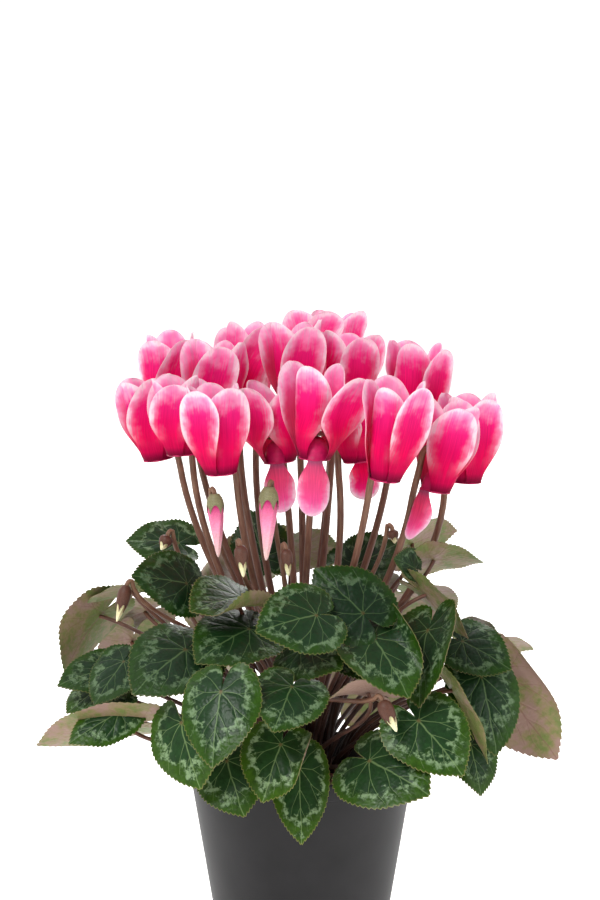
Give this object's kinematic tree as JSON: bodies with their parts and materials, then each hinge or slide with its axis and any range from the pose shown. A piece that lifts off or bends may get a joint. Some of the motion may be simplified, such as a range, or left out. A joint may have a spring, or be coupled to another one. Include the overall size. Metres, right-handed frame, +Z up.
{
  "type": "potted cyclamen",
  "caption": "Potted cyclamen: upright stalks with swept-back two-coloured blooms over a dome of heart-shaped leaves, growing from a tuber in a tapered pot.",
  "frame": {"origin": "centre of the pot's flat underside", "axes": "+Z up along the pot's axis; the side that the picture shows faces -Y"},
  "size_m": [0.2929, 0.2733, 0.3678],
  "materials": {
    "pot": "satin anthracite",
    "compost": "loose peat compost",
    "tuber": "corky brown skin",
    "leaf": "waxy, marbled silver-green",
    "petal": "soft sheen, pale margins",
    "stalk": "smooth red-brown skin"
  },
  "bodies": {
    "root": {"bloom_01": "petal", "bloom_02": "petal", "bloom_03": "petal", "bloom_04": "petal", "bloom_05": "petal", "bloom_06": "petal", "bloom_07": "petal", "bloom_08": "petal", "bloom_09": "petal", "bloom_10": "petal", "bloom_11": "petal", "bloom_12": "petal", "bloom_13": "petal", "bloom_14": "petal", "bloom_15": "petal", "bloom_16": "petal", "compost": "compost", "leaves_a": "leaf", "leaves_b": "leaf", "leaves_c": "leaf", "leaves_d": "leaf", "leaves_e": "leaf", "leaves_f": "leaf", "leaves_far_1": "leaf", "leaves_far_10": "leaf", "leaves_far_2": "leaf", "leaves_far_3": "leaf", "leaves_far_4": "leaf", "leaves_far_5": "leaf", "leaves_far_6": "leaf", "leaves_far_7": "leaf", "leaves_far_8": "leaf", "leaves_far_9": "leaf", "leaves_g": "leaf", "leaves_h": "leaf", "leaves_i": "leaf", "leaves_j": "leaf", "leaves_k": "leaf", "leaves_l": "leaf", "leaves_m": "leaf", "leaves_n": "leaf", "leaves_o": "leaf", "pot": "pot", "stalk_01": "stalk", "stalk_02": "stalk", "stalk_03": "stalk", "stalk_04": "stalk", "stalk_05": "stalk", "stalk_06": "stalk", "stalk_07": "stalk", "stalk_08": "stalk", "stalk_09": "stalk", "stalk_10": "stalk", "stalk_11": "stalk", "stalk_12": "stalk", "stalk_13": "stalk", "stalk_14": "stalk", "stalk_15": "stalk", "stalk_16": "stalk", "tuber": "tuber"}
  },
  "joints": []
}
